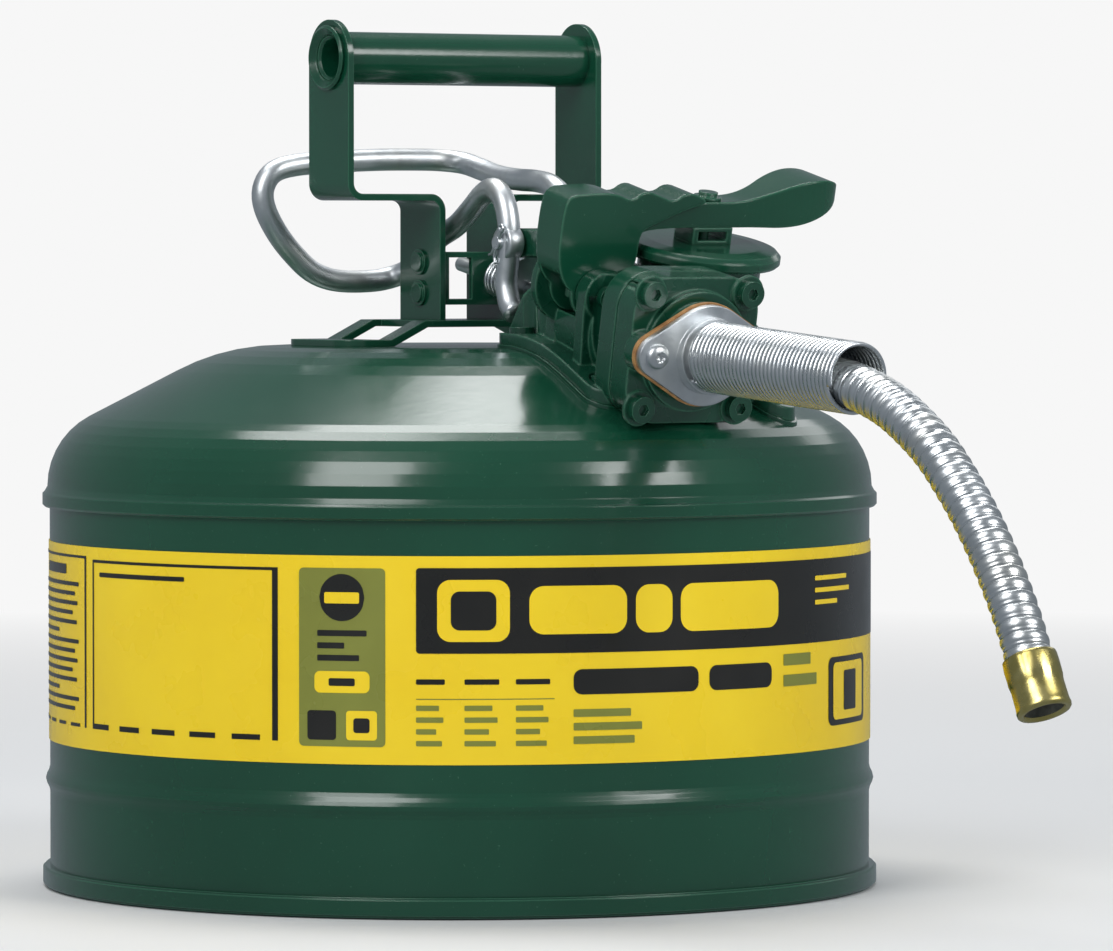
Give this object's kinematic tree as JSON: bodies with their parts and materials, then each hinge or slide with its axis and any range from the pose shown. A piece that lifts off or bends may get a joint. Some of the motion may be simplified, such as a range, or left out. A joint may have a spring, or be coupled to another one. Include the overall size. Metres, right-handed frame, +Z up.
{
  "type": "safety gas can",
  "caption": "Green steel type II safety gas can with a trigger handle, a sprung fill cap, a wrap-round label and a flexible metal pouring hose with a brass tip.",
  "frame": {"origin": "centre of the can's base, on the floor", "axes": "+Z up, +X along the carrying grip towards the fill cap's thumb lever, -Y towards the valve and the hose"},
  "size_m": [0.2984, 0.4991, 0.3075],
  "materials": {
    "green_enamel": "gloss",
    "label_vinyl": "gloss",
    "black_rubber": "matt",
    "fibre_gasket": "matt",
    "zinc_plate": "satin",
    "brass": "satin",
    "bare_steel": "satin"
  },
  "bodies": {
    "can": {"can_body": "green_enamel", "can_bottom": "green_enamel", "can_top": "green_enamel", "label_wrap": "label_vinyl", "handle_bridge": "green_enamel", "rear_strap": "green_enamel", "front_strap": "green_enamel", "grip_tube": "green_enamel", "strap_rivets": "green_enamel", "spring_bracket": "green_enamel", "manifold_gasket": "black_rubber", "manifold_body": "green_enamel", "manifold_screws": "green_enamel", "cover_gasket": "black_rubber", "valve_cover": "green_enamel", "cover_screws": "green_enamel", "spout_gasket": "fibre_gasket", "spout_flange": "zinc_plate", "spout_screws": "zinc_plate", "spring_guard": "zinc_plate", "hose": "zinc_plate", "hose_tip": "brass", "valve_spring": "zinc_plate", "hinge_pin": "zinc_plate", "hinge_screws": "green_enamel", "cap_spring": "zinc_plate", "fill_screen": "bare_steel", "pour_screen": "bare_steel"},
    "trigger": {"trigger_rod": "zinc_plate", "trigger_pin": "zinc_plate", "pin_clip": "zinc_plate"},
    "valve": {"valve_stem": "zinc_plate", "stem_collar": "zinc_plate", "valve_disc": "zinc_plate", "valve_seal": "black_rubber"},
    "cap": {"fill_cap": "green_enamel", "cap_seal": "black_rubber", "cap_post": "green_enamel", "cap_arm": "green_enamel", "cap_stud": "green_enamel", "fill_lever": "green_enamel"}
  },
  "joints": [
    {"name": "trigger_squeeze", "type": "hinge", "parent": "can", "child": "trigger", "pos_m": [0.007, -0.042, 0.2286], "axis": [1, 0, 0], "range_deg": [0, 18], "stiffness_Nm_per_rad": 0.6, "springref_deg": -17.19},
    {"name": "valve_slide", "type": "slide", "parent": "can", "child": "valve", "axis": [0, 0.9816, 0.1908], "range_m": [0, 0.0055], "deforming": ["valve_spring"]},
    {"name": "cap_lift", "type": "hinge", "parent": "can", "child": "cap", "pos_m": [-0.01, -0.0967, 0.2134], "axis": [0, -0.9744, -0.225], "range_deg": [0, 60], "stiffness_Nm_per_rad": 0.25, "springref_deg": -45.84}
  ],
  "couplings": [
    {"joint": "valve_slide", "follows": "trigger_squeeze", "m_per_rad": 0.017}
  ]
}
